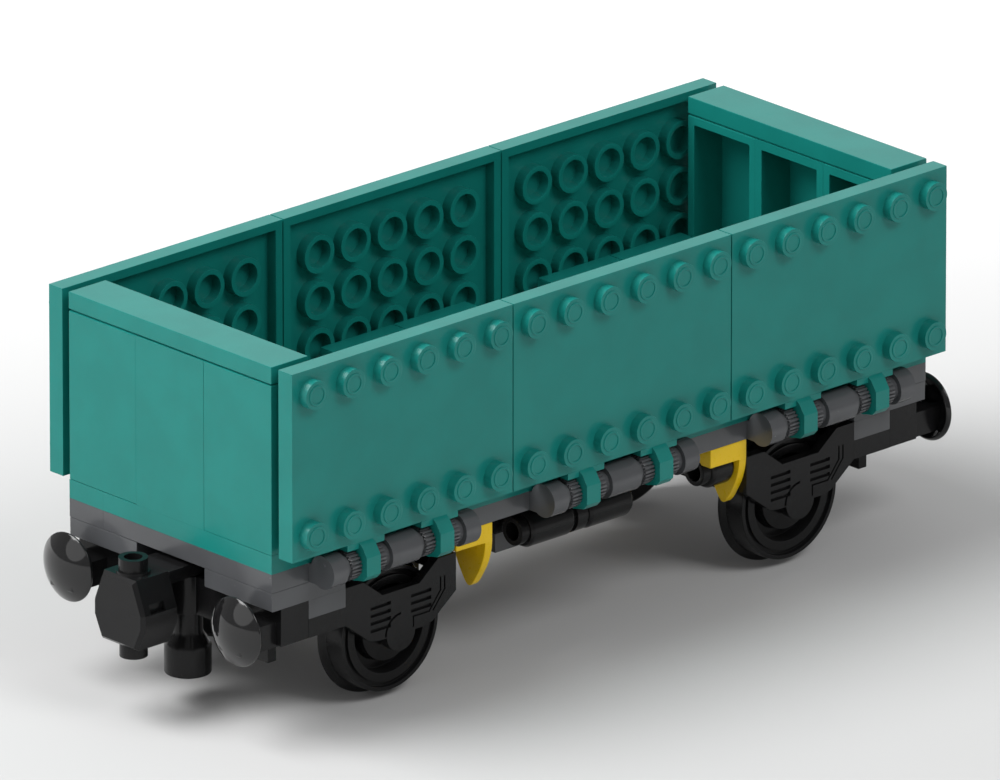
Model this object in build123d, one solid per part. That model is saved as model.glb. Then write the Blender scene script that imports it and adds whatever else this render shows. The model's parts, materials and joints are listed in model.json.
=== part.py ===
from build123d import *
import math
import os

os.makedirs("parts", exist_ok=True)

# Open goods wagon with six hinged drop sides, built up from moulded plates.
# Millimetres. X runs along the wagon, Y across it, Z up from the wheel bottoms.

# Building module shared by every moulded piece
PITCH = 8.0            # stud spacing
PLATE_H = 3.2          # height of one plate
STUD_R = 2.4
STUD_H = 1.7
STUD_BORE_R = 1.5      # bore of a hollow stud
RIM = 1.5              # side wall of a hollow plate
SKIN = 1.2             # closed face of a hollow plate
TUBE_R = 3.25          # tube between four studs
TUBE_BORE_R = 2.4
PEG_R = 1.6            # peg between two studs in a single row

# Body
BODY_L = 144.0
BODY_W = 48.0
FLOOR_Z = 32.0         # top of the floor
EDGE_ROW = 8.0         # width of the outer row of plates
END_DEPTH = 8.0        # depth of the end walls along the wagon
END_PANELS = 3
END_PANEL_H = 28.8
END_SKIN = 1.6         # outer wall of an end panel
END_BASE = 2.4
DECK_PLATES = 4

# Side panels
PANEL_COUNT = 3        # along each side
PANEL_H = 32.0
PANEL_T = 3.2
PANEL_GAP = 1.6        # body side to the panel's inner face
PANEL_PLAY = 0.1       # taken off each end of a panel

# Side hinges
HINGE_DROP = 4.0       # axis below the panel's bottom edge
UNIT_L = 16.0          # length of one hinge unit
LOBE_R = 2.8
LOBE_L = 3.2
NECK_R = 2.0
NECK_L = 1.1
RING_R = 2.5
RING_TEETH = 24
TOOTH_W = 0.3
TOOTH_D = 0.35
FINGER_HALF = 1.5
FINGER_R = 2.9
FINGER_PLAY = 0.15
PIVOT_R = 1.0
PIVOT_L = 1.5
SWEEP_R = 4.3          # pocket that the opened finger turns into
SHOULDER_HALF = 4.0
SHOULDER_T = 1.1
ARM_LIFT = 0.2         # arm above the floor
ARM_PLAY = 0.1

# Running gear
AXLE_INSET = 28.0      # axle behind the end of the body
AXLE_R = 1.5
AXLE_PLAY = 0.1
FLANGE_R = 11.8
TREAD_R = 10.7
TREAD_DROP = 0.2       # cone of the tread
FLANGE_T = 0.8
WHEEL_PLAY = 0.6       # flange to the middle of the wheel holder
WHEEL_W = 4.8
AXLE_SETBACK = 1.0     # end of the axle inside the wheel's face
HOLDER_HALF = 12.0     # half length of a wheel holder
FRAME_T = 1.8          # thickness of its side frames
CARRIER_W = 16.0       # width of its middle
CARRIER_HALF = 3.6
CARRIER_SKIRT = 1.2    # below the axle centre
ARM_BAR = 2.1          # bars out to the side frames
BOX_R = 3.1            # axle box
BOX_GROOVE = 0.4       # groove round half of the axle box
ROD_STEP = 0.9         # between the two lines of the brake rod
ROD_W = 0.3
ROD_DEPTH = 0.3
SLOT_H = 0.6           # leaf slots of the side frames
SLOT_STEP = 1.3
SLOT_DEPTH = 0.5
SLOT_DROP = 14.5       # top slot below the floor
SLOT_SPAN = (2.2, 6.6)

# Brake rod about the axle: start, end and the lines of each run
ROD_RUNS = [
    ((8.6, 7.2), (8.6, 5.1), (0.0, ROD_STEP)),
    ((8.6, 5.1), (6.15, 2.1), (0.0, ROD_STEP)),
    ((6.15, 2.1), (2.7, 2.1), (0.0,)),
    ((2.7, 2.1), (2.7, 0.4), (0.0,)),
]

# Buffer beams
BEAM_T = 6.0
BEAM_H = 6.4
BUFFER_EDGE = 4.0      # middle of a buffer from the side of the body
BUFFER_R = 6.0
BUFFER_Z = 19.1
BUFFER_REACH = 6.0     # rim plane beyond the beam's face
BUFFER_DOME = 2.3
BUFFER_SHELL = 1.0
BUFFER_RIB = 1.0
STEM_W = 5.4
STEM_Z = (15.6, 19.9)
GUARD_STEP = 4.8       # guard nearer the middle than the buffer
GUARD_W = 2.6
GUARD_T = 1.8
GUARD_Z = 10.1

# Couplers
COUPLER_PIVOT = 68.3   # from the middle of the wagon, nominal length
COUPLER_BACK = 76.0
COUPLER_FRONT = 83.4
COUPLER_STUD = 80.0
COUPLER_Z = 18.7       # middle of the housing
HEAD_TOP = 24.9
HEAD_BOTTOM = 13.1
HEAD_SIDE = (17.0, 19.5)
HEAD_HALF = 6.0
HEAD_TOP_HALF = 3.8
HEAD_BOTTOM_HALF = 4.2
HEAD_BEVEL = 0.6
SPLIT_HIGH = 19.4
SPLIT_LOW = 18.0
SPLIT_Y = 0.8
MAGNET_R = 3.3
MAGNET_L = 4.4
MAGNET_COVER = 1.0
MAGNET_PLAY = 0.05
ARM_HALF = 4.0
SHAFT_R = 1.75
SHAFT_PLAY = 0.2
LUG_R = 4.2
POST_NECK_R = 2.45
POST_FOOT_R = 3.85
POST_Z = (12.0, 9.5, 4.8)
RECESS_HALF = 8.0      # half width of the opening for the coupler arm

# Underfloor tanks, plates and markers, near side; the far side is the same, turned round
BRICK_H = 9.6
TANK_R = 3.15
TANK_PLAY = 0.05
TANK_Z = 20.8
TANK_BAND = 3.2
TANK_BAND_R = 2.6
TANK_STUD_L = 1.6
TANK_TAPER = 0.7
LONG_TANK_END = 8.0
SHORT_TANK_L = 6.4
CLIP_T = 0.45          # wall of the clip round the long tank
CLIP_W = 2.2
CLIP_STEM = 3.0
CLIP_HEAD = 1.4
BELLY_X = (-16.0, 8.0)  # plates under the middle of the near half
MARKER_T = 1.6
# Half width and drop below the marker's plate, from its root to its tip
MARKER_TOOTH = [(4.0, 0.0), (3.6, 2.6), (2.95, 4.4), (1.85, 6.4), (0.0, 8.4)]

# Values that follow
HALF_L = BODY_L / 2
HALF_W = BODY_W / 2
CORE_HALF = HALF_W - EDGE_ROW
PANEL_L = BODY_L / PANEL_COUNT
PANEL_IN = HALF_W + PANEL_GAP
PANEL_OUT = PANEL_IN + PANEL_T
PANEL_TOP = FLOOR_Z + PANEL_H
PANEL_FACE = PANEL_IN + PANEL_T - SKIN
HINGE_Y = PANEL_IN + PANEL_T / 2
HINGE_Z = FLOOR_Z - HINGE_DROP
LAYER = [FLOOR_Z - (i + 1) * PLATE_H for i in range(5)]
AXLE_X = HALF_L - AXLE_INSET
WHEEL_BACK = CORE_HALF + WHEEL_PLAY
WHEEL_FRONT = WHEEL_BACK + WHEEL_W
AXLE_END = WHEEL_FRONT - AXLE_SETBACK
BUFFER_Y = HALF_W - BUFFER_EDGE
GUARD_Y = BUFFER_Y - GUARD_STEP
TANK_Y = HALF_W - EDGE_ROW / 2
AXLE_Z = FLANGE_R
HOLDER_TOP = LAYER[2]
END_X = HALF_L - END_DEPTH
CROSS_X = AXLE_X + HOLDER_HALF
BEAM_X = END_X + BEAM_T
BUFFER_X = BEAM_X + BUFFER_REACH
END_SHIFT = HALF_L - 72.0
PIVOT_X = COUPLER_PIVOT + END_SHIFT
HEAD_BACK = COUPLER_BACK + END_SHIFT
HEAD_FRONT = COUPLER_FRONT + END_SHIFT
HEAD_STUD = COUPLER_STUD + END_SHIFT
TURNED = Rot(0, 0, 180)


def block(x, y, z):
    """Box between the (low, high) limits along each axis."""
    limits = (x, y, z)
    size = [high - low for low, high in limits]
    centre = [(low + high) / 2 for low, high in limits]
    return Pos(*centre) * Box(*size)


def bar(radius, start, direction, length):
    """Round bar from a start point along a direction."""
    shape = Cylinder(radius, length, align=(Align.CENTER, Align.CENTER, Align.MIN))
    return Plane(origin=start, z_dir=direction) * shape


def ring(radius, bore, start, direction, length):
    """Round tube from a start point along a direction."""
    return bar(radius, start, direction, length) - bar(bore, start, direction, length)


def prism(points, plane, length):
    """Straight sided block on an outline drawn in a plane."""
    return extrude(plane * make_face(Polyline(*points, close=True)), length)


def centred(length):
    """Even number of stud places about the middle."""
    count = 2 * int((length / 2 + 0.01) // PITCH)
    return [(i - (count - 1) / 2) * PITCH for i in range(count)]


def stacked(start, length):
    """Stud places counted up from an edge."""
    count = int((length + 0.01) // PITCH)
    return [start + (i + 0.5) * PITCH for i in range(count)]


def gaps(places):
    """Middles between neighbouring stud places."""
    return [(a + b) / 2 for a, b in zip(places, places[1:])]


def plate(x, y, z_low):
    """Moulded plate, hollow below, with tubes or pegs between its stud places."""
    roof = z_low + PLATE_H - SKIN
    body = block(x, y, (z_low, z_low + PLATE_H))
    body -= block((x[0] + RIM, x[1] - RIM), (y[0] + RIM, y[1] - RIM), (z_low, roof))
    columns = gaps(stacked(x[0], x[1] - x[0]))
    rows = gaps(stacked(y[0], y[1] - y[0]))
    if columns and rows:
        places = [(cx, cy) for cx in columns for cy in rows]
        post = ring(TUBE_R, TUBE_BORE_R, (0, 0, z_low), (0, 0, 1), roof - z_low)
    else:
        places = [(cx, (y[0] + y[1]) / 2) for cx in columns]
        places += [((x[0] + x[1]) / 2, cy) for cy in rows]
        post = bar(PEG_R, (0, 0, z_low), (0, 0, 1), roof - z_low)
    tubes = [Pos(cx, cy, 0) * post for cx, cy in places]
    return body + tubes if tubes else body


def save(name, *pieces):
    """Write the separate solids of one node."""
    solids = [solid for piece in pieces for solid in piece.solids()]
    export_step(Compound(solids), f"parts/{name}.step")


def both_ends(piece):
    """The piece and its copy turned round to the other end and side."""
    return [piece, TURNED * piece]


# ---------------------------------------------------------------- side panels
def side_panel():
    """Near side panel centred on X = 0, closed, with studs outside and tubes inside."""
    half = PANEL_L / 2 - PANEL_PLAY
    body = block((-half, half), (-PANEL_OUT, -PANEL_IN), (FLOOR_Z, PANEL_TOP))
    body -= block((RIM - half, half - RIM), (-PANEL_FACE, -PANEL_IN), (FLOOR_Z + RIM, PANEL_TOP - RIM))
    columns = centred(PANEL_L)
    rows = stacked(FLOOR_Z, PANEL_H)
    depth = PANEL_FACE - PANEL_IN
    tube = ring(TUBE_R, TUBE_BORE_R, (0, -PANEL_IN, 0), (0, -1, 0), depth)
    stud = bar(STUD_R, (0, -PANEL_OUT, 0), (0, -1, 0), STUD_H)
    tubes = [Pos(x, 0, z) * tube for x in gaps(columns) for z in gaps(rows)]
    edge_rows = (FLOOR_Z + PITCH / 2, PANEL_TOP - PITCH / 2)
    studs = [Pos(x, 0, z) * stud for x in columns for z in edge_rows]
    return body + tubes + studs


def finger_outline():
    """Side profile of the hinge finger about the hinge axis: outwards, up."""
    return [
        (-FINGER_R, 0.0),
        (-2.6, HINGE_DROP - 0.1),
        (1.6, HINGE_DROP - 0.1),
        (2.3, 3.4),
        (3.45, 1.7),
        (3.45, -1.5),
        (2.6, -2.4),
        (0.0, -FINGER_R),
    ]


def hinge_arm():
    """Arm of one near hinge at X = 0: plate behind the panel, shoulder and finger."""
    half = UNIT_L / 2 - ARM_PLAY
    arm_low = FLOOR_Z + ARM_LIFT
    arm = block((-half, half), (-PANEL_IN, PLATE_H - PANEL_IN), (arm_low, arm_low + PITCH - ARM_LIFT))
    stud = bar(STUD_R, (0, -PANEL_IN, FLOOR_Z + PITCH / 2), (0, -1, 0), STUD_H)
    arm += [Pos(x, 0, 0) * stud for x in (-PITCH / 2, PITCH / 2)]
    shoulder_low = FLOOR_Z - SHOULDER_T
    neck_y = (-PANEL_IN, -PANEL_IN + 1.0)
    arm += block((-SHOULDER_HALF, SHOULDER_HALF), neck_y, (shoulder_low, arm_low + 0.5))
    arm += block((-SHOULDER_HALF, SHOULDER_HALF), (-HINGE_Y - 1.6, neck_y[1]), (shoulder_low, FLOOR_Z))
    side = Plane(origin=(FINGER_HALF, -HINGE_Y, HINGE_Z), x_dir=(0, -1, 0), z_dir=(-1, 0, 0))
    arm += prism(finger_outline(), side, 2 * FINGER_HALF)
    arm += bar(FINGER_R, (-FINGER_HALF, -HINGE_Y, HINGE_Z), (1, 0, 0), 2 * FINGER_HALF)
    reach = FINGER_HALF + PIVOT_L
    arm += bar(PIVOT_R, (-reach, -HINGE_Y, HINGE_Z), (1, 0, 0), 2 * reach)
    return arm


def hinge_ring():
    """Toothed ring beside the finger, on the +X side of a hinge at X = 0."""
    start = FINGER_HALF + FINGER_PLAY
    length = UNIT_L / 2 - LOBE_L - NECK_L - start
    shape = bar(RING_R, (start, 0, 0), (1, 0, 0), length)
    slot = block((start, start + length), (RING_R - TOOTH_D, RING_R + 0.5), (-TOOTH_W / 2, TOOTH_W / 2))
    step = 360 / RING_TEETH
    shape -= [Rot(i * step, 0, 0) * slot for i in range(RING_TEETH)]
    return shape


def hinge_base():
    """Grey half of one near hinge at X = 0: plate with two lobes and toothed rings."""
    half = UNIT_L / 2
    base = plate((-half, half), (-HALF_W, -CORE_HALF), LAYER[1])
    axis = Pos(0, -HINGE_Y, HINGE_Z)
    lobe_in = half - LOBE_L
    socket = bar(PIVOT_R + FINGER_PLAY, (FINGER_HALF, 0, 0), (1, 0, 0), PIVOT_L + FINGER_PLAY)
    side = bar(LOBE_R, (lobe_in, 0, 0), (1, 0, 0), LOBE_L)
    side += bar(NECK_R, (lobe_in - NECK_L, 0, 0), (1, 0, 0), NECK_L)
    side += hinge_ring()
    side -= socket
    web_y = (-HINGE_Y, -HALF_W + RIM)
    web = block((lobe_in, half), web_y, (LAYER[1], LAYER[0]))
    base += axis * side
    base += axis * Rot(0, 0, 180) * side
    base += web
    base += Pos(-lobe_in - half, 0, 0) * web
    pocket_half = FINGER_HALF + 2 * FINGER_PLAY
    pocket = bar(SWEEP_R, (-pocket_half, -HINGE_Y, HINGE_Z), (1, 0, 0), 2 * pocket_half)
    keep = bar(RING_R + 0.01, (-half, -HINGE_Y, HINGE_Z), (1, 0, 0), UNIT_L)
    return base - (pocket - keep)


# ---------------------------------------------------------------------- body
def end_panel():
    """Middle end panel of the +X end: outer wall, side supports, base and top flange."""
    width = BODY_W / END_PANELS
    half = width / 2
    top = FLOOR_Z + END_PANEL_H
    panel = block((END_X, HALF_L), (-half, half), (FLOOR_Z, top))
    hollow = ((END_X, HALF_L - END_SKIN), (RIM - half, half - RIM), (FLOOR_Z + END_BASE, top - RIM))
    panel -= block(*hollow)
    stud = ring(STUD_R, STUD_BORE_R, ((END_X + HALF_L) / 2, 0, top), (0, 0, 1), STUD_H)
    panel += [Pos(0, y, 0) * stud for y in centred(width)]
    return panel


def end_cap():
    """Long tile over the +X end panels, hollow below for their studs."""
    low = FLOOR_Z + END_PANEL_H
    cap = block((END_X, HALF_L), (-HALF_W, HALF_W), (low, low + PLATE_H))
    inside = ((END_X + RIM, HALF_L - RIM), (RIM - HALF_W, HALF_W - RIM), (low, low + PLATE_H - SKIN))
    cap -= block(*inside)
    groove = 0.3
    rim_groove = block((END_X, HALF_L), (-HALF_W, HALF_W), (low, low + groove))
    rim_groove -= block((END_X + groove, HALF_L - groove), (groove - HALF_W, HALF_W - groove), (low, low + groove))
    return cap - rim_groove


def hinge_places():
    """Middles of the hinge units along one side."""
    panels = [(i - (PANEL_COUNT - 1) / 2) * PANEL_L for i in range(PANEL_COUNT)]
    return [[middle - UNIT_L / 2, middle + UNIT_L / 2] for middle in panels]


def spacers():
    """Plates of the near edge row between and outside the hinge units."""
    edges = [-HALF_L]
    for pair in hinge_places():
        edges += [pair[0] - UNIT_L / 2, pair[1] + UNIT_L / 2]
    edges.append(HALF_L)
    spans = zip(edges[0::2], edges[1::2])
    return [plate(span, (-HALF_W, -CORE_HALF), LAYER[1]) for span in spans if span[1] > span[0]]


def lower_end_plate():
    """Plate under the corner of the +X end, beside the coupler arm."""
    return plate((CROSS_X, HALF_L), (RECESS_HALF, HALF_W), LAYER[2])


# --------------------------------------------------------------- buffer beam
def buffer_beam():
    """Beam of the +X end with buffer stems, rail guards and the coupler's pivot lug."""
    low = LAYER[2] - BEAM_H
    beam = block((END_X, BEAM_X), (-HALF_W, HALF_W), (low, LAYER[2]))
    beam += bar(LUG_R, (PIVOT_X, 0, low), (0, 0, 1), BEAM_H)
    for side in (-1, 1):
        y = side * BUFFER_Y
        guard_y = side * GUARD_Y
        beam += block((BEAM_X - 1, BUFFER_X), (y - STEM_W / 2, y + STEM_W / 2), STEM_Z)
        guard_x = (END_X + 0.2, END_X + 0.2 + GUARD_T)
        beam += block(guard_x, (guard_y - GUARD_W / 2, guard_y + GUARD_W / 2), (GUARD_Z, low + 1))
    hole = bar(SHAFT_R + SHAFT_PLAY, (PIVOT_X, 0, low), (0, 0, 1), BEAM_H)
    return beam - hole


def dome(radius, height):
    """Solid cap of a sphere on the buffer's rim plane, on Y = 0."""
    sphere = (radius ** 2 + height ** 2) / (2 * height)
    half = math.asin(radius / sphere) / 2
    middle = (BUFFER_X + height - sphere * (1 - math.cos(half)), sphere * math.sin(half))
    front = (BUFFER_X + height, 0)
    edge = ThreePointArc(front, middle, (BUFFER_X, radius))
    back = Polyline((BUFFER_X, radius), (BUFFER_X, 0), front)
    return Pos(0, 0, BUFFER_Z) * revolve(make_face(edge + back), Axis.X)


def buffer_head():
    """Domed disc of the +X end on Y = 0, hollow behind, with a rib and a stem socket."""
    whole = dome(BUFFER_R, BUFFER_DOME)
    shell = whole - dome(BUFFER_R - BUFFER_SHELL / 2, BUFFER_DOME - BUFFER_SHELL)
    depth = (BUFFER_X, BUFFER_X + BUFFER_DOME)
    rib = block(depth, (-BUFFER_RIB / 2, BUFFER_RIB / 2), (BUFFER_Z - BUFFER_R, BUFFER_Z + BUFFER_R))
    socket = block(depth, (-STEM_W / 2, STEM_W / 2), STEM_Z)
    return shell + (whole & (rib + socket))


# -------------------------------------------------------------------- coupler
def head_block():
    """Housing of the +X coupler before it is parted."""
    outline = [
        (-HEAD_TOP_HALF, HEAD_TOP),
        (-HEAD_HALF, HEAD_SIDE[1]),
        (-HEAD_HALF, HEAD_SIDE[0]),
        (-HEAD_BOTTOM_HALF, HEAD_BOTTOM),
        (HEAD_BOTTOM_HALF, HEAD_BOTTOM),
        (HEAD_HALF, HEAD_SIDE[0]),
        (HEAD_HALF, HEAD_SIDE[1]),
        (HEAD_TOP_HALF, HEAD_TOP),
    ]
    plane = Plane(origin=(HEAD_BACK, 0, 0), x_dir=(0, 1, 0), z_dir=(1, 0, 0))
    head = prism(outline, plane, HEAD_FRONT - HEAD_BACK)
    head = chamfer(head.faces().sort_by(Axis.X)[-1].edges(), HEAD_BEVEL)
    return head - magnet(0.0)


def magnet(play):
    """Sealed magnet of the +X coupler, less a play all round."""
    start = HEAD_FRONT - MAGNET_COVER - MAGNET_L + play
    return bar(MAGNET_R - play, (start, 0, COUPLER_Z), (1, 0, 0), MAGNET_L - 2 * play)


def lower_space():
    """Everything below the stepped parting line of the housing."""
    x = (HEAD_BACK - 1, HEAD_FRONT + 1)
    wide = 2 * HEAD_HALF
    space = block(x, (-wide, SPLIT_Y), (0, SPLIT_LOW))
    space += block(x, (SPLIT_Y, wide), (0, SPLIT_HIGH))
    return space


def coupler_upper():
    """Upper shell with its hollow stud and side window."""
    shell = head_block() - lower_space()
    flange_r = STUD_R + 0.4
    shell += ring(flange_r, STUD_BORE_R, (HEAD_STUD, 0, HEAD_TOP), (0, 0, 1), 0.4)
    shell += ring(STUD_R, STUD_BORE_R, (HEAD_STUD, 0, HEAD_TOP), (0, 0, 1), 2.5)
    window_x = (HEAD_STUD - 1.6, HEAD_STUD + 1.6)
    for side in (-1, 1):
        edge = side * HEAD_HALF
        shell -= block(window_x, (edge - 1.0, edge + 1.0), (SPLIT_HIGH, SPLIT_HIGH + 1.6))
    return shell


def coupler_lower():
    """Lower shell with its stud and side ledges."""
    shell = head_block() & lower_space()
    shell += bar(STUD_R - 0.1, (HEAD_STUD, 0, HEAD_BOTTOM - 2.5), (0, 0, 1), 2.5)
    return shell


def coupler_arm():
    """Arm, pivot shaft and foot post of the +X coupler."""
    top = HEAD_TOP
    low = LAYER[2] + SHAFT_PLAY
    arm = block((PIVOT_X, HEAD_BACK), (-ARM_HALF, ARM_HALF), (low, top))
    arm += bar(ARM_HALF, (PIVOT_X, 0, low), (0, 0, 1), top - low)
    arm += block((HEAD_BACK - 2.0, HEAD_BACK), (1 - ARM_HALF, ARM_HALF - 1), (HEAD_BOTTOM + 1.5, top))
    beam_low = LAYER[2] - BEAM_H
    arm += bar(SHAFT_R, (PIVOT_X, 0, beam_low - 1), (0, 0, 1), low + 1 - beam_low)
    neck_top = beam_low - SHAFT_PLAY
    post = [
        (0, neck_top),
        (POST_NECK_R, neck_top),
        (POST_NECK_R, POST_Z[0]),
        (POST_FOOT_R, POST_Z[1]),
        (POST_FOOT_R, POST_Z[2]),
        (0, POST_Z[2]),
    ]
    foot = revolve(Plane.XZ * make_face(Polyline(*post, close=True)), Axis.Z)
    return arm + Pos(PIVOT_X, 0, 0) * foot


def pivot_block():
    """Block behind the coupler arm in its recess, +X end."""
    x = (CROSS_X, PIVOT_X - ARM_HALF - 1.0)
    return block(x, (-RECESS_HALF, RECESS_HALF), (LAYER[2], LAYER[1]))


# --------------------------------------------------------------- running gear
def frame_outline():
    """Half outline of a side frame about the axle: along, height."""
    top = HOLDER_TOP
    return [
        (HOLDER_HALF, top),
        (8.1, top),
        (4.0, top - PLATE_H),
        (-4.0, top - PLATE_H),
        (-8.1, top),
        (-HOLDER_HALF, top),
        (-HOLDER_HALF, top - 2 * PLATE_H),
        (-6.8, AXLE_Z + 0.2),
        (-4.9, AXLE_Z - 0.2),
        (4.9, AXLE_Z - 0.2),
        (6.8, AXLE_Z + 0.2),
        (HOLDER_HALF, top - 2 * PLATE_H),
    ]


def side_frame():
    """Near side frame about X = 0: outline, axle box, leaf slots, brake rod and hook."""
    inner = -HALF_W + FRAME_T
    face = Plane(origin=(0, inner, 0), x_dir=(1, 0, 0), z_dir=(0, -1, 0))
    frame = prism(frame_outline(), face, FRAME_T)
    frame += bar(BOX_R, (0, inner, AXLE_Z), (0, -1, 0), FRAME_T)
    front = (-HALF_W, -HALF_W + SLOT_DEPTH)
    low, high = SLOT_SPAN
    slots = []
    for x, count in (((-high, -low), 4), ((low, high), 3)):
        for i in range(count):
            z = FLOOR_Z - SLOT_DROP - SLOT_STEP * i
            slots.append(block(x, front, (z - SLOT_H / 2, z + SLOT_H / 2)))
    groove_r = BOX_R + BOX_GROOVE
    groove = ring(groove_r, BOX_R, (0, -HALF_W + SLOT_DEPTH, AXLE_Z), (0, -1, 0), SLOT_DEPTH)
    groove &= block((-groove_r, 0), front, (AXLE_Z, AXLE_Z + groove_r))
    frame -= slots
    frame -= groove
    for start, end, offsets in ROD_RUNS:
        for offset in offsets:
            (x0, z0), (x1, z1) = [(x + offset, AXLE_Z + z) for x, z in (start, end)]
            length = math.hypot(x1 - x0, z1 - z0) + ROD_W
            tilt = -math.degrees(math.atan2(z1 - z0, x1 - x0))
            line = Box(length, 2 * ROD_DEPTH, ROD_W)
            frame -= Pos((x0 + x1) / 2, -HALF_W, (z0 + z1) / 2) * Rot(0, tilt, 0) * line
    return frame


def wheel_holder():
    """Holder about X = 0: cross plate, axle clip, bars and two side frames."""
    top = HOLDER_TOP
    plate_low = top - PLATE_H
    holder = block((-HOLDER_HALF, HOLDER_HALF), (-CORE_HALF, CORE_HALF), (plate_low, top))
    side = CARRIER_W / 2
    clip_low = AXLE_Z - CARRIER_SKIRT
    clip = block((-CARRIER_HALF, CARRIER_HALF), (-side, side), (clip_low, plate_low + 1))
    clip -= bar(AXLE_R + AXLE_PLAY, (0, -side, AXLE_Z), (0, 1, 0), CARRIER_W)
    holder += clip
    frame = side_frame()
    for end in (-1, 1):
        bar_x = (HOLDER_HALF - ARM_BAR, HOLDER_HALF)
        near = block(bar_x, (-HALF_W + FRAME_T, 1 - CORE_HALF), (plate_low, top))
        holder += Rot(0, 0, 90 - 90 * end) * near
        holder += Rot(0, 0, 90 - 90 * end) * Pos(-2 * HOLDER_HALF + ARM_BAR, 0, 0) * near
        holder += Rot(0, 0, 90 - 90 * end) * frame
    return holder


def wheel():
    """Near wheel about X = 0, with its stepped outer face."""
    section = [
        (0, WHEEL_BACK),
        (FLANGE_R - 0.5, WHEEL_BACK),
        (FLANGE_R, WHEEL_BACK + 0.4),
        (FLANGE_R - 0.3, WHEEL_BACK + FLANGE_T),
        (TREAD_R, WHEEL_BACK + FLANGE_T + 0.4),
        (TREAD_R - TREAD_DROP, WHEEL_FRONT),
        (9.8, WHEEL_FRONT),
        (9.8, WHEEL_FRONT - 0.8),
        (9.0, WHEEL_FRONT - 0.8),
        (9.0, WHEEL_FRONT - 0.2),
        (7.5, WHEEL_FRONT - 0.2),
        (7.3, WHEEL_FRONT - 2.6),
        (5.8, WHEEL_FRONT - 2.6),
        (5.5, WHEEL_FRONT - 0.5),
        (2.4, WHEEL_FRONT - 0.2),
        (0, WHEEL_FRONT - 0.2),
    ]
    points = [(radius, -across) for radius, across in section]
    shape = revolve(make_face(Polyline(*points, close=True)), Axis.Y)
    shape -= bar(AXLE_R, (0, -WHEEL_BACK, 0), (0, -1, 0), AXLE_END - WHEEL_BACK)
    return Pos(0, 0, AXLE_Z) * shape


def axle():
    """Axle about X = 0."""
    return bar(AXLE_R, (0, -AXLE_END, AXLE_Z), (0, 1, 0), 2 * AXLE_END)


# ---------------------------------------------------------- tanks and markers
def tank_body(x_low, length, play):
    """Round body along X with tapered ends, near side."""
    radius = TANK_R + play
    tapered = radius - TANK_TAPER / 2
    points = [
        (x_low, 0),
        (x_low, tapered),
        (x_low + TANK_TAPER, radius),
        (x_low + length - TANK_TAPER, radius),
        (x_low + length, tapered),
        (x_low + length, 0),
    ]
    return revolve(make_face(Polyline(*points, close=True)), Axis.X)


def tank(x_high, lengths, play=0.0):
    """Row of round bodies ending at x_high, with a hollow stud on the -X end."""
    x = x_high
    shape = None
    for length in lengths:
        if shape is not None:
            shape += bar(TANK_BAND_R, (x - TANK_BAND, 0, 0), (1, 0, 0), TANK_BAND)
            x -= TANK_BAND
        x -= length
        body = tank_body(x, length, play)
        shape = body if shape is None else shape + body
    shape += bar(STUD_R, (x - TANK_STUD_L, 0, 0), (1, 0, 0), TANK_STUD_L)
    shape -= bar(STUD_BORE_R, (x - TANK_STUD_L, 0, 0), (1, 0, 0), TANK_STUD_L + 1)
    return Pos(0, -TANK_Y, TANK_Z) * shape


def marker(x_high):
    """Plate with a downward tooth on its +X face, ending at x_high, near side."""
    x_low = x_high - PITCH
    top = LAYER[1]
    shape = block((x_low, x_high), (-HALF_W, -CORE_HALF), (LAYER[2], top))
    half = EDGE_ROW / 2
    right = [(y, LAYER[2] - drop) for y, drop in MARKER_TOOTH]
    left = [(-y, z) for y, z in reversed(right[:-1])]
    edge = Spline(*right, *left)
    root = Polyline((-half, LAYER[2]), (-half, top), (half, top), (half, LAYER[2]))
    plane = Plane(origin=(x_high - MARKER_T, -TANK_Y, 0), x_dir=(0, 1, 0), z_dir=(1, 0, 0))
    return shape + extrude(plane * make_face(edge + root), MARKER_T)


def tank_clip():
    """Clip that holds the long tank by its band, with a stem and a head, near side."""
    middle = LONG_TANK_END - BRICK_H - TANK_BAND / 2
    x = (middle - CLIP_W / 2, middle + CLIP_W / 2)
    head_low = LAYER[1] - CLIP_HEAD
    radius = TANK_BAND_R + CLIP_T
    clip = bar(radius, (x[0], -TANK_Y, TANK_Z), (1, 0, 0), CLIP_W)
    clip += block(x, (-TANK_Y - CLIP_STEM / 2, -TANK_Y + CLIP_STEM / 2), (TANK_Z, head_low))
    clip -= bar(TANK_BAND_R, (x[0], -TANK_Y, TANK_Z), (1, 0, 0), CLIP_W)
    return clip + block(x, (-HALF_W, -CORE_HALF), (head_low, LAYER[1]))


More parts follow.
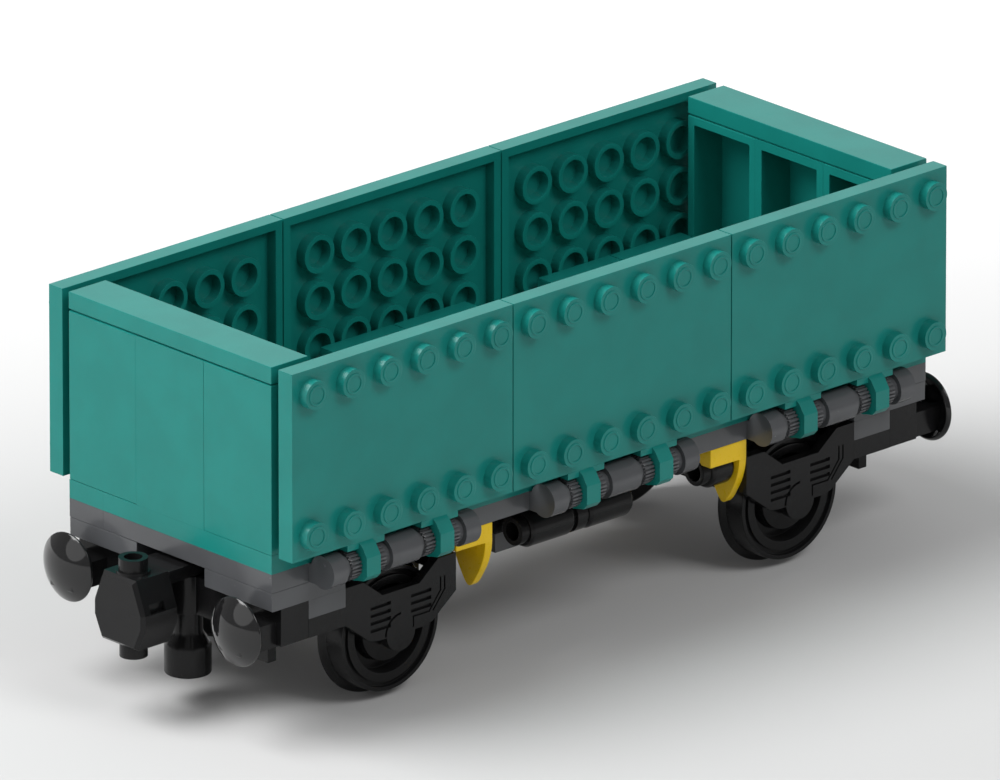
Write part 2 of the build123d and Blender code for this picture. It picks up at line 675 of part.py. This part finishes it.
# ------------------------------------------------------------------ write out
def write_body():
    rail = plate((-HALF_L, HALF_L), (-HALF_W, -CORE_HALF), LAYER[0])
    save("floor_rails", *both_ends(rail))
    end_plate = plate((END_X, HALF_L), (-CORE_HALF, CORE_HALF), LAYER[0])
    save("floor_end_plates", *both_ends(end_plate))
    deck_l = 2 * END_X / DECK_PLATES
    spans = [(-END_X + i * deck_l, -END_X + (i + 1) * deck_l) for i in range(DECK_PLATES)]
    save("deck_plates", *[plate(span, (-CORE_HALF, CORE_HALF), LAYER[0]) for span in spans])
    core = plate((0, HALF_L), (-CORE_HALF, CORE_HALF), LAYER[1])
    save("upper_core", *both_ends(core))
    lower = plate((0, CROSS_X), (-CORE_HALF, CORE_HALF), LAYER[2])
    save("lower_core", *both_ends(lower))
    corner = lower_end_plate()
    corners = [corner, mirror(corner, Plane.XZ)]
    save("lower_end_plates", *corners, *[TURNED * piece for piece in corners])
    near = spacers()
    save("spacer_plates", *near, *[TURNED * piece for piece in near])
    cross = plate((CROSS_X, END_X), (-HALF_W, HALF_W), LAYER[3])
    save("cross_plates", *both_ends(cross))
    keeper = plate((CROSS_X, END_X), (-HALF_W, HALF_W), LAYER[4])
    save("keeper_plates", *both_ends(keeper))


def write_ends():
    panel = end_panel()
    width = BODY_W / END_PANELS
    for i in range(END_PANELS):
        y = (i - (END_PANELS - 1) / 2) * width
        placed = Pos(0, y, 0) * panel
        save(f"end_panel_right_{i + 1}", placed)
        save(f"end_panel_left_{i + 1}", TURNED * placed)
    cap = end_cap()
    save("end_cap_right", cap)
    save("end_cap_left", TURNED * cap)


def write_sides():
    panel = side_panel()
    arm = hinge_arm()
    base = hinge_base()
    for i, pair in enumerate(hinge_places()):
        middle = sum(pair) / 2
        panels = Pos(middle, 0, 0) * panel
        arms = [Pos(x, 0, 0) * arm for x in pair]
        bases = [Pos(x, 0, 0) * base for x in pair]
        far = PANEL_COUNT - i
        save(f"side_panel_near_{i + 1}", panels)
        save(f"side_panel_far_{far}", TURNED * panels)
        save(f"hinge_arms_near_{i + 1}", *arms)
        save(f"hinge_arms_far_{far}", *[TURNED * piece for piece in arms])
        save(f"hinge_bases_near_{i + 1}", *bases)
        save(f"hinge_bases_far_{far}", *[TURNED * piece for piece in bases])


def write_running_gear():
    holder = wheel_holder()
    near = wheel()
    wheels = [near, TURNED * near]
    pin = axle()
    for name, x in (("left", -AXLE_X), ("right", AXLE_X)):
        save(f"wheel_holder_{name}", Pos(x, 0, 0) * holder)
        save(f"wheels_{name}", *[Pos(x, 0, 0) * piece for piece in wheels])
        save(f"axle_{name}", Pos(x, 0, 0) * pin)


def write_end_gear():
    save("pivot_blocks", *both_ends(pivot_block()))
    head = buffer_head()
    heads = [Pos(0, y, 0) * head for y in (-BUFFER_Y, BUFFER_Y)]
    pieces = {
        "buffer_beam": [buffer_beam()],
        "buffer_heads": heads,
        "coupler_upper": [coupler_upper()],
        "coupler_lower": [coupler_lower()],
        "coupler_magnet": [magnet(MAGNET_PLAY)],
        "coupler_arm": [coupler_arm()],
    }
    for name, solids in pieces.items():
        save(f"{name}_right", *solids)
        save(f"{name}_left", *[TURNED * solid for solid in solids])


def write_fittings():
    long_tank = tank(LONG_TANK_END, (BRICK_H, BRICK_H))
    inner = AXLE_X - HOLDER_HALF
    tooth_x = inner - MARKER_T
    short_tank = tank(tooth_x, (SHORT_TANK_L - TANK_STUD_L,))
    grown = tank(tooth_x, (SHORT_TANK_L - TANK_STUD_L,), TANK_PLAY)
    markers = [marker(-inner + PITCH), marker(inner) - grown]
    upper = plate(BELLY_X, (-CORE_HALF, 0), LAYER[3])
    lower = plate(BELLY_X, (-CORE_HALF, 0), LAYER[4])
    save("long_tanks", *both_ends(long_tank))
    save("short_tanks", *both_ends(short_tank))
    save("tank_clips", *both_ends(tank_clip()))
    save("belly_plates", *both_ends(upper))
    save("ballast_plates", *both_ends(lower))
    save("markers", *markers, *[TURNED * piece for piece in markers])


write_body()
write_ends()
write_sides()
write_running_gear()
write_end_gear()
write_fittings()
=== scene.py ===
import json
import math

import bpy
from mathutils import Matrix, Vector


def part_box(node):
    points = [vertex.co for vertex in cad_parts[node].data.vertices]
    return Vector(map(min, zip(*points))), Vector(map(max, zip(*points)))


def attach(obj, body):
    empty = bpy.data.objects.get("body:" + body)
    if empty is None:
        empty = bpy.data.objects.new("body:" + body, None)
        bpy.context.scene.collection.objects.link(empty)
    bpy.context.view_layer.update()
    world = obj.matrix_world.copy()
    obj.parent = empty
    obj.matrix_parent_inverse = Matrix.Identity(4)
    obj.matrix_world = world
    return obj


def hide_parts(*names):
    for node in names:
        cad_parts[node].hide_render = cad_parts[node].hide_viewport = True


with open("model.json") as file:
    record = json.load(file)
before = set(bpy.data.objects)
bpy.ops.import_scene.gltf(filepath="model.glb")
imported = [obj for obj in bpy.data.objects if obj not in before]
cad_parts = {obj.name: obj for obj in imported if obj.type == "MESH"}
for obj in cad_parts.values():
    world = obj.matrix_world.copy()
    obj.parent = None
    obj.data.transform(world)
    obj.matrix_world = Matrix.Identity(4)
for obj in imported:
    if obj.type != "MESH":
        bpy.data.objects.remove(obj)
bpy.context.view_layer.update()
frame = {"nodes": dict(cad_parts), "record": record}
MM = 0.001

# ------------------------------------------------------------- camera and room
VIEW_AZIMUTH = math.radians(-42.9)
VIEW_ELEVATION = math.radians(20.3)
VIEW_DISTANCE = 4.48
VIEW_TARGET = Vector((-0.1, 0.0, 35.6)) * MM
VIEW_LENS = 1000.0
VIEW_REACH = 20.0
SKY_STRENGTH = 0.3

# Lamps: direction from the wagon, distance and size in metres, watts
LAMPS = {
    "key_light": ((-0.477, 0.304, 0.825), 1.1, 0.8, 12.5),
    "fill_light": ((0.09, -0.70, 0.71), 1.1, 0.5, 3.6),
    "end_light": ((-0.89, 0.13, 0.44), 1.0, 0.85, 1.8),
    "back_glow": ((0.638, 0.687, 0.347), 1.6, 1.6, 3.4),
}


def view_axes():
    """Unit vectors of the view: to the right, upwards, and back towards the camera."""
    a, e = VIEW_AZIMUTH, VIEW_ELEVATION
    back = Vector((math.sin(a) * math.cos(e), -math.cos(a) * math.cos(e), math.sin(e)))
    right = Vector((math.cos(a), math.sin(a), 0.0))
    return right, back.cross(right), back


RIGHT, UP, BACK = view_axes()


def add_camera():
    data = bpy.data.cameras.new("camera")
    data.lens = VIEW_LENS
    data.clip_end = VIEW_REACH
    camera = bpy.data.objects.new("camera", data)
    bpy.context.scene.collection.objects.link(camera)
    camera.location = VIEW_TARGET + BACK * VIEW_DISTANCE
    camera.rotation_euler = BACK.to_track_quat("Z", "Y").to_euler()
    bpy.context.scene.camera = camera


def add_softbox(name, direction, distance, size, watts):
    """Soft round lamp that looks at the middle of the wagon."""
    data = bpy.data.lights.new(name, "AREA")
    data.shape = "DISK"
    data.size = size
    data.energy = watts
    lamp = bpy.data.objects.new(name, data)
    bpy.context.scene.collection.objects.link(lamp)
    lamp.location = VIEW_TARGET + direction.normalized() * distance
    lamp.rotation_euler = direction.to_track_quat("Z", "Y").to_euler()


def light_room():
    world = bpy.data.worlds.new("studio")
    world.use_nodes = True
    sky = world.node_tree.nodes["Background"]
    sky.inputs["Color"].default_value = (1.0, 1.0, 1.0, 1.0)
    sky.inputs["Strength"].default_value = SKY_STRENGTH
    bpy.context.scene.world = world
    for name, (direction, distance, size, watts) in LAMPS.items():
        add_softbox(name, Vector(direction), distance, size, watts)
    bpy.context.scene.view_settings.view_transform = "Standard"


# ------------------------------------------------------------ shader expressions
class Value:
    """A shader socket; sums and products of values add their Math nodes."""

    def __init__(self, graph, socket):
        self.graph = graph
        self.socket = socket

    def _math(self, operation, first, second):
        node = self.graph.make("Math", {"operation": operation}, first, second)
        return node.out()

    def __add__(self, other):
        return self._math("ADD", self, other)

    def __mul__(self, other):
        return self._math("MULTIPLY", self, other)

    __radd__ = __add__
    __rmul__ = __mul__

    def above(self, low, high):
        """0 below low, 1 above high, smooth between."""
        settings = {"interpolation_type": "SMOOTHSTEP"}
        return self.graph.make("MapRange", settings, self, low, high, 0.0, 1.0).out()


class Made:
    """A node that has just been made."""

    def __init__(self, graph, node):
        self.graph = graph
        self.node = node

    def out(self, name=0):
        return Value(self.graph, self.node.outputs[name])


class Graph:
    """The node tree of one material."""

    def __init__(self, name):
        self.material = bpy.data.materials.new(name)
        self.material.use_nodes = True
        self.tree = self.material.node_tree
        self.shader = self.tree.nodes["Principled BSDF"]

    def make(self, kind, settings=None, *inputs, **named):
        """Adds a node: its settings first, then the values or links of its sockets."""
        node = self.tree.nodes.new("ShaderNode" + kind)
        for key, value in (settings or {}).items():
            setattr(node, key, value)
        for index, value in enumerate(inputs):
            self.feed(node.inputs[index], value)
        for key, value in named.items():
            self.feed(node.inputs[key.replace("_", " ")], value)
        return Made(self, node)

    def feed(self, socket, value):
        if isinstance(value, Value):
            self.tree.links.new(value.socket, socket)
        else:
            socket.default_value = value

    def place(self):
        return self.make("TexCoord").out("Object")

    def noise(self, size, detail=2.0, rough=0.5):
        """Noise from 0 to 1 whose patches are about size millimetres wide."""
        scale = 1.0 / (size * MM)
        made = self.make("TexNoise", None, Vector=self.place(), Scale=scale, Detail=detail, Roughness=rough)
        return made.out("Fac")

    def mix(self, amount, first, second):
        """Colour between two colours."""
        made = self.make("Mix", {"data_type": "RGBA"})
        sockets = [s for s in made.node.inputs if s.type == "RGBA"]
        self.feed(made.node.inputs[0], amount)
        self.feed(sockets[0], first)
        self.feed(sockets[1], second)
        return Value(self, [s for s in made.node.outputs if s.type == "RGBA"][0])

    def bump(self, height, depth):
        """Normal of a height from 0 to 1 that stands depth millimetres deep."""
        made = self.make("Bump", None, Strength=1.0, Distance=depth * MM, Height=height)
        return made.out()

    def finish(self, **sockets):
        for key, value in sockets.items():
            self.feed(self.shader.inputs[key.replace("_", " ")], value)
        return self.material


def shade(colour, factor):
    return tuple(channel * factor for channel in colour[:3]) + (1.0,)


def moulded(name, colour, rough, coat, grain=0.005, ripple=0.012, shine=0.25):
    """Injection moulded plastic: fine skin grain, slow sink ripple, faint handling marks."""
    g = Graph(name)
    tone = g.noise(9.0, 3.0).above(0.3, 0.7)
    rubbed = g.noise(1.6, 6.0, 0.7).above(0.56, 0.75)
    base = g.mix(tone, shade(colour, 0.95), shade(colour, 1.05))
    base = g.mix(rubbed * 0.25, base, shade(colour, 1.12))
    skin = g.noise(0.22, 3.0) * grain + g.noise(5.0, 1.0) * ripple
    return g.finish(
        Base_Color=base,
        Roughness=rubbed * 0.07 + g.noise(0.6, 2.0) * 0.05 + (rough - 0.025),
        Normal=g.bump(skin, 1.0),
        Coat_Weight=coat,
        Coat_Roughness=0.1,
        Specular_IOR_Level=shine,
        IOR=1.5,
    )


def drawn_steel():
    """Drawn steel bar: fine rings round the axle."""
    g = Graph("axle_steel")
    lines = g.make("Mapping", {"vector_type": "POINT"}, g.place())
    lines.node.inputs["Scale"].default_value = (300.0, 6000.0, 300.0)
    streak = g.make("TexNoise", None, Vector=lines.out(), Scale=1.0, Detail=3.0).out("Fac")
    return g.finish(
        Base_Color=g.mix(streak, (0.36, 0.36, 0.38, 1.0), (0.62, 0.62, 0.64, 1.0)),
        Roughness=streak * 0.2 + 0.2,
        Metallic=1.0,
        Normal=g.bump(streak, 0.01),
    )


def floor_finish():
    """Pale sweep with a painted glow: its emission brightens it towards the back."""
    g = Graph("floor_sweep")
    axes = g.make("SeparateXYZ", None, g.place())
    depth = axes.out("X") * -BACK.x + axes.out("Y") * -BACK.y
    far = depth.above(-0.02, 0.3)
    # painted glow: emission that makes the far floor brighter, standing in for lamp light
    glow = g.mix(far, (0.0, 0.0, 0.0, 1.0), (0.5, 0.5, 0.5, 1.0))
    return g.finish(
        Base_Color=g.mix(g.noise(40.0), (0.6, 0.6, 0.6, 1.0), (0.615, 0.615, 0.615, 1.0)),
        Roughness=0.9,
        Specular_IOR_Level=0.0,
        Emission_Color=glow,
        Emission_Strength=1.0,
    )


TEAL = (0.009, 0.215, 0.188)
GREY = (0.086, 0.089, 0.095)
BLACK = (0.0092, 0.0092, 0.0096)
YELLOW = (0.88, 0.58, 0.012)

FINISHES = {
    "teal_plastic": moulded("teal_plastic", TEAL, 0.3, 0.05),
    "grey_plastic": moulded("grey_plastic", GREY, 0.22, 0.12, shine=0.4),
    "black_plastic": moulded("black_plastic", BLACK, 0.22, 0.05, shine=0.2),
    "gloss_black_plastic": moulded(
        "gloss_black_plastic", BLACK, 0.05, 0.6, grain=0.0004, ripple=0.001
    ),
    "yellow_plastic": moulded("yellow_plastic", YELLOW, 0.28, 0.1),
    "axle_steel": drawn_steel(),
    "magnet_metal": moulded("magnet_metal", (0.5, 0.5, 0.52), 0.3, 0.0),
}


# --------------------------------------------------------------- CAD node edges
EDGE_WIDTH = 0.2
EDGE = {
    "coupler": 0.28,
    "wheels": 0.12,
    "hinge_bases": 0.1,
    "hinge_arms": 0.12,
    "wheel_holder": 0.1,
    "markers": 0.7,
}
SEAM = 2e-6
FLAT_ANGLE = math.radians(0.4)
EDGE_ANGLE = math.radians(32)
CREASE_ANGLE = math.radians(36)
SPARE_AREA = 1.01


def edge_width(node):
    for key, width in EDGE.items():
        if node.startswith(key):
            return width * MM
    return EDGE_WIDTH * MM


def skin_area(obj):
    """Area of the mesh as its modifiers leave it."""
    shown = obj.evaluated_get(bpy.context.evaluated_depsgraph_get())
    mesh = shown.to_mesh()
    mesh.calc_loop_triangles()
    area = sum(triangle.area for triangle in mesh.loop_triangles)
    shown.to_mesh_clear()
    return area


def soften(node, obj):
    """Small moulded radius on every sharp edge, with clean shading."""
    bpy.context.view_layer.objects.active = obj
    bpy.ops.mesh.customdata_custom_splitnormals_clear()
    for face in obj.data.polygons:
        face.use_smooth = True
    bare = skin_area(obj)
    weld = obj.modifiers.new("weld", "WELD")
    weld.merge_threshold = SEAM
    flat = obj.modifiers.new("flatten", "DECIMATE")
    flat.decimate_type = "DISSOLVE"
    flat.angle_limit = FLAT_ANGLE
    edge = obj.modifiers.new("edges", "BEVEL")
    edge.width = edge_width(node)
    edge.segments = 2
    edge.limit_method = "ANGLE"
    edge.angle_limit = EDGE_ANGLE
    edge.miter_outer = "MITER_ARC"
    edge.use_clamp_overlap = True
    # a flat face that fills in its own openings is left in triangles
    if skin_area(obj) > SPARE_AREA * bare:
        obj.modifiers.remove(flat)
    split = obj.modifiers.new("crease", "EDGE_SPLIT")
    split.split_angle = CREASE_ANGLE
    split.use_edge_sharp = False
    even = obj.modifiers.new("even", "WEIGHTED_NORMAL")
    even.weight = 100


def dress_nodes():
    slots = {part["node"]: part["material_slot"] for part in frame["record"]["subparts"]}
    for node, obj in frame["nodes"].items():
        obj.data.materials.clear()
        obj.data.materials.append(FINISHES[slots[node]])
        soften(node, obj)


# ------------------------------------------------------------------ new pieces
RING_OUT = 1.75 * MM
RING_IN = 1.35 * MM
RING_RISE = 0.13 * MM
RING_SINK = 0.1 * MM
RING_EDGE = 0.05 * MM
RING_SIDES = 40
STUD_PITCH = 8.0 * MM
DOME_R = 6.0 * MM
DOME_RISE = 2.3 * MM
DOME_WALL = 1.0 * MM
DOME_EDGE = 0.25 * MM
DOME_SIDES = 96
SOCKET = (2.0 * MM, 5.4 * MM, 4.3 * MM)
SOCKET_SINK = 0.4 * MM
SOCKET_DROP = 1.3 * MM
SOCKET_EDGE = 0.3 * MM


def deselect():
    bpy.ops.object.select_all(action="DESELECT")


def apply_modifiers(obj):
    """Applies every modifier of a new piece, in order."""
    deselect()
    obj.select_set(True)
    bpy.context.view_layer.objects.active = obj
    for modifier in list(obj.modifiers):
        bpy.ops.object.modifier_apply(modifier=modifier.name)


def finish_piece(obj, name, body, slot, smooth=30.0):
    """Names a new piece, gives it its finish and rides it on a body."""
    deselect()
    obj.select_set(True)
    bpy.context.view_layer.objects.active = obj
    bpy.ops.object.transform_apply(location=True, rotation=True, scale=True)
    bpy.ops.object.shade_smooth_by_angle(angle=math.radians(smooth))
    obj.name = name
    obj.data.name = name
    obj.data.materials.clear()
    obj.data.materials.append(FINISHES[slot])
    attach(obj, body)


def copy_of(obj, offset):
    twin = obj.copy()
    twin.data = obj.data.copy()
    bpy.context.scene.collection.objects.link(twin)
    twin.location = obj.location + offset
    return twin


def join(objs):
    deselect()
    for obj in objs:
        obj.select_set(True)
    bpy.context.view_layer.objects.active = objs[0]
    bpy.ops.object.join()
    return bpy.context.object


def stud_ring(centre, side):
    """Raised ring on a stud's face, in place of lettering. side is -1 near, 1 far."""
    deselect()
    turn = (math.radians(90) * -side, 0.0, 0.0)
    depth = RING_RISE + RING_SINK
    bpy.ops.mesh.primitive_cylinder_add(
        vertices=RING_SIDES, radius=RING_OUT, depth=depth, location=centre, rotation=turn
    )
    ring = bpy.context.object
    bpy.ops.object.mode_set(mode="EDIT")
    bpy.ops.mesh.select_mode(type="FACE")
    bpy.ops.mesh.select_all(action="DESELECT")
    bpy.ops.object.mode_set(mode="OBJECT")
    for face in ring.data.polygons:
        face.select = abs(face.normal.z) > 0.9
    bpy.ops.object.mode_set(mode="EDIT")
    bpy.ops.mesh.inset(thickness=RING_OUT - RING_IN)
    bpy.ops.mesh.bridge_edge_loops()
    bpy.ops.object.mode_set(mode="OBJECT")
    edge = ring.modifiers.new("edges", "BEVEL")
    edge.width = RING_EDGE
    edge.segments = 2
    edge.limit_method = "ANGLE"
    apply_modifiers(ring)
    return ring


def add_stud_rings():
    """Rings on both visible rows of studs of each side panel."""
    for word, side in (("near", -1), ("far", 1)):
        for i in (1, 2, 3):
            low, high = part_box(f"side_panel_{word}_{i}")
            middle = (low.x + high.x) / 2
            tip = low.y if side < 0 else high.y
            y = tip + side * (RING_RISE - RING_SINK) / 2
            first = stud_ring((middle - 2.5 * STUD_PITCH, y, low.z + STUD_PITCH / 2), side)
            rings = [first]
            for column in range(6):
                for row in range(2):
                    if column or row:
                        offset = Vector((column * STUD_PITCH, 0.0, row * 3 * STUD_PITCH))
                        rings.append(copy_of(first, offset))
            finish_piece(join(rings), f"stud_rings_{word}_{i}", f"side_{word}_{i}", "teal_plastic")


def buffer_dome(centre, side):
    """Thin domed disc: a sphere cut off at the rim plane and given a wall."""
    deselect()
    sphere_r = (DOME_R ** 2 + DOME_RISE ** 2) / (2 * DOME_RISE)
    rim_x = centre.x - side * DOME_RISE
    middle = (centre.x - side * sphere_r, centre.y, centre.z)
    turn = (0.0, math.radians(90), 0.0)
    bpy.ops.mesh.primitive_uv_sphere_add(
        segments=DOME_SIDES, ring_count=DOME_SIDES, radius=sphere_r, location=middle, rotation=turn
    )
    dome = bpy.context.object
    bpy.ops.object.mode_set(mode="EDIT")
    bpy.ops.mesh.select_all(action="SELECT")
    bpy.ops.mesh.bisect(plane_co=(rim_x, centre.y, centre.z), plane_no=(side, 0.0, 0.0), clear_inner=True)
    bpy.ops.object.mode_set(mode="OBJECT")
    wall = dome.modifiers.new("wall", "SOLIDIFY")
    wall.thickness = DOME_WALL
    wall.offset = -1.0
    edge = dome.modifiers.new("edges", "BEVEL")
    edge.width = DOME_EDGE
    edge.segments = 3
    edge.limit_method = "ANGLE"
    edge.angle_limit = math.radians(40)
    apply_modifiers(dome)
    return dome


def buffer_socket(centre, side):
    """Block behind the dome that takes the buffer stem."""
    deselect()
    x = centre.x - side * (DOME_RISE - SOCKET[0] / 2 + SOCKET_SINK)
    place = (x, centre.y, centre.z - SOCKET_DROP)
    bpy.ops.mesh.primitive_cube_add(size=1.0, location=place, scale=SOCKET)
    block = bpy.context.object
    bpy.ops.object.transform_apply(location=False, rotation=False, scale=True)
    edge = block.modifiers.new("edges", "BEVEL")
    edge.width = SOCKET_EDGE
    edge.segments = 3
    apply_modifiers(block)
    return block


def add_buffers():
    for word, side in (("left", -1), ("right", 1)):
        node = f"buffer_heads_{word}"
        low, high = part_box(node)
        face_x = low.x if side < 0 else high.x
        parts = []
        for y in (low.y + DOME_R, high.y - DOME_R):
            centre = Vector((face_x, y, (low.z + high.z) / 2))
            parts.append(buffer_dome(centre, side))
            parts.append(buffer_socket(centre, side))
        heads = join(parts)
        finish_piece(heads, f"buffers_{word}", "chassis", "gloss_black_plastic", 40.0)
        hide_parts(node)


def lay_floor():
    bpy.ops.object.select_all(action="DESELECT")
    bpy.ops.mesh.primitive_plane_add(size=6.0, location=(0, 0, 0))
    floor = bpy.context.object
    floor.name = "floor"
    floor.data.materials.append(floor_finish())


RIB_LENGTH = 4.0 * MM
RIB_DROP = 3.8 * MM
RIB_SPACE = 0.7 * MM
RIB_RIM = 0.6 * MM
RIB_POCKET = 2.0 * MM
RIB_EDGE = 0.15 * MM
PLATE = 3.2 * MM


def holder_rib(inner_x, side, top_z, half_width):
    """Rib under the inner edge of a wheel holder's cross plate, with a pocket below."""
    deselect()
    place = (inner_x + side * RIB_LENGTH / 2, 0.0, top_z - RIB_DROP / 2)
    size = (RIB_LENGTH, 2 * half_width, RIB_DROP)
    bpy.ops.mesh.primitive_cube_add(size=1.0, location=place, scale=size)
    rib = bpy.context.object
    bpy.ops.object.transform_apply(location=False, rotation=False, scale=True)
    for face in rib.data.polygons:
        face.select = face.normal.z < -0.9
    bpy.ops.object.mode_set(mode="EDIT")
    bpy.ops.mesh.select_mode(type="FACE")
    bpy.ops.mesh.inset(thickness=RIB_RIM)
    bpy.ops.mesh.extrude_region_move(TRANSFORM_OT_translate={"value": (0.0, 0.0, RIB_POCKET)})
    bpy.ops.object.mode_set(mode="OBJECT")
    edge = rib.modifiers.new("edges", "BEVEL")
    edge.width = RIB_EDGE
    edge.segments = 2
    edge.limit_method = "ANGLE"
    apply_modifiers(rib)
    return rib


def add_holder_ribs():
    for word, side in (("left", -1), ("right", 1)):
        low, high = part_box(f"wheel_holder_{word}")
        inner_x = high.x if side < 0 else low.x
        half_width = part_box("lower_core")[1].y - RIB_SPACE
        rib = holder_rib(inner_x, side, high.z - PLATE, half_width)
        finish_piece(rib, f"holder_rib_{word}", "chassis", "black_plastic")


add_camera()
light_room()
lay_floor()
dress_nodes()
add_stud_rings()
add_buffers()
add_holder_ribs()
